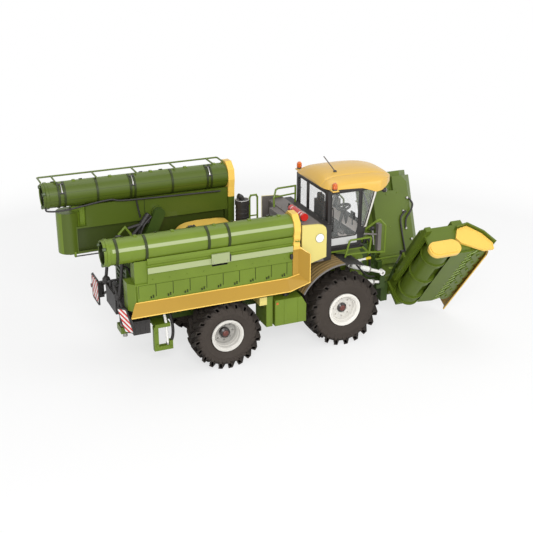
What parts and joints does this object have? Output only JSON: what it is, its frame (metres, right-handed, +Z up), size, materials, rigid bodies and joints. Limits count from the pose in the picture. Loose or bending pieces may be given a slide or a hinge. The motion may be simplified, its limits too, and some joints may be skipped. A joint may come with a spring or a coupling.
{
  "type": "toy self-propelled mower",
  "caption": "Toy self-propelled mower with a glazed cab, rear-wheel steering, side mowers folded along the body on lifting arms and hinged front mowers.",
  "frame": {"origin": "on the ground, in the middle plane, midway between the axles", "axes": "+X forward, +Y to the left, +Z up"},
  "size_m": [0.3296, 0.1499, 0.1483],
  "materials": {
    "green_paint": "satin",
    "yellow_paint": "satin",
    "black_plastic": "matt",
    "grey_plastic": "matt",
    "silver_metal": "satin",
    "rubber": "matt",
    "pane": "clear",
    "orange_lens": "gloss",
    "red_lens": "gloss",
    "red_paint": "gloss",
    "board_white": "matt"
  },
  "bodies": {
    "chassis": {"chassis_frame": "green_paint", "frame_cross": "green_paint", "front_axle": "black_plastic", "rear_axle": "black_plastic", "cab_mount": "green_paint", "cab_shell": "black_plastic", "cab_glass": "pane", "cab_roof": "yellow_paint", "cab_interior": "black_plastic", "beacons": "orange_lens", "mirrors": "grey_plastic", "engine_body": "green_paint", "hood_top": "yellow_paint", "cooler_housing": "grey_plastic", "side_panels": "yellow_paint", "fenders": "grey_plastic", "tanks": "green_paint", "rails": "green_paint", "muffler": "black_plastic", "extinguisher": "red_paint", "rear_hitch": "green_paint", "board_brackets": "black_plastic", "warning_boards": "board_white", "rear_lamps": "red_lens", "front_lift_frame": "green_paint", "lift_cylinders": "silver_metal"},
    "wheel_front_left": {"tyre_front_left": "rubber", "rim_front_left": "silver_metal"},
    "knuckle_left": {"knuckle_left": "grey_plastic"},
    "wheel_rear_left": {"tyre_rear_left": "rubber", "rim_rear_left": "silver_metal"},
    "arm_left": {"arm_left": "green_paint", "shaft_left": "black_plastic"},
    "side_mower_left": {"side_tube_left": "green_paint", "tube_bands_left": "green_paint", "side_deck_left": "green_paint", "side_skirt_left": "yellow_paint", "side_rail_left": "green_paint"},
    "front_mower_left": {"front_deck_left": "green_paint", "front_bar_left": "green_paint", "front_drums_left": "green_paint", "front_skirt_left": "yellow_paint", "front_cover_left": "yellow_paint"},
    "wheel_front_right": {"tyre_front_right": "rubber", "rim_front_right": "silver_metal"},
    "knuckle_right": {"knuckle_right": "grey_plastic"},
    "wheel_rear_right": {"tyre_rear_right": "rubber", "rim_rear_right": "silver_metal"},
    "arm_right": {"arm_right": "green_paint", "shaft_right": "black_plastic"},
    "side_mower_right": {"side_tube_right": "green_paint", "tube_bands_right": "green_paint", "side_deck_right": "green_paint", "side_skirt_right": "yellow_paint"},
    "front_mower_right": {"front_deck_right": "green_paint", "front_bar_right": "green_paint", "front_drums_right": "green_paint", "front_skirt_right": "yellow_paint", "front_cover_right": "yellow_paint"}
  },
  "joints": [
    {"name": "front_spin_left", "type": "hinge", "parent": "chassis", "child": "wheel_front_left", "pos_m": [0.05, 0.0355, 0.0301], "axis": [0, 1, 0], "continuous": true},
    {"name": "steer_left", "type": "hinge", "parent": "chassis", "child": "knuckle_left", "pos_m": [-0.05, 0.025, 0.027], "axis": [0, 0, 1], "range_deg": [-16, 16]},
    {"name": "rear_spin_left", "type": "hinge", "parent": "knuckle_left", "child": "wheel_rear_left", "pos_m": [-0.05, 0.03825, 0.027], "axis": [0, 1, 0], "continuous": true},
    {"name": "lift_left", "type": "hinge", "parent": "chassis", "child": "arm_left", "pos_m": [-0.106, 0.0205, 0.054], "axis": [0, -1, 0], "range_deg": [-36.4, 0]},
    {"name": "level_left", "type": "hinge", "parent": "arm_left", "child": "side_mower_left", "pos_m": [-0.08007, 0.0245, 0.10811], "axis": [0, -1, 0], "range_deg": [0, 36.4]},
    {"name": "fold_left", "type": "hinge", "parent": "chassis", "child": "front_mower_left", "pos_m": [0.119, 0.012, 0.025], "axis": [1, 0, 0], "range_deg": [-70, 18]},
    {"name": "front_spin_right", "type": "hinge", "parent": "chassis", "child": "wheel_front_right", "pos_m": [0.05, -0.0355, 0.0301], "axis": [0, 1, 0], "continuous": true},
    {"name": "steer_right", "type": "hinge", "parent": "chassis", "child": "knuckle_right", "pos_m": [-0.05, -0.025, 0.027], "axis": [0, 0, 1], "range_deg": [-16, 16]},
    {"name": "rear_spin_right", "type": "hinge", "parent": "knuckle_right", "child": "wheel_rear_right", "pos_m": [-0.05, -0.03825, 0.027], "axis": [0, 1, 0], "continuous": true},
    {"name": "lift_right", "type": "hinge", "parent": "chassis", "child": "arm_right", "pos_m": [-0.106, -0.0205, 0.054], "axis": [0, -1, 0], "range_deg": [0, 36.4]},
    {"name": "level_right", "type": "hinge", "parent": "arm_right", "child": "side_mower_right", "pos_m": [-0.05302, -0.0245, 0.08217], "axis": [0, -1, 0], "range_deg": [-36.4, 0]},
    {"name": "fold_right", "type": "hinge", "parent": "chassis", "child": "front_mower_right", "pos_m": [0.119, -0.012, 0.025], "axis": [-1, 0, 0], "range_deg": [-52.4, 35.6]}
  ],
  "couplings": [
    {"joint": "level_left", "follows": "lift_left", "ratio": -1},
    {"joint": "level_right", "follows": "lift_right", "ratio": -1},
    {"joint": "steer_right", "follows": "steer_left", "ratio": 1}
  ]
}
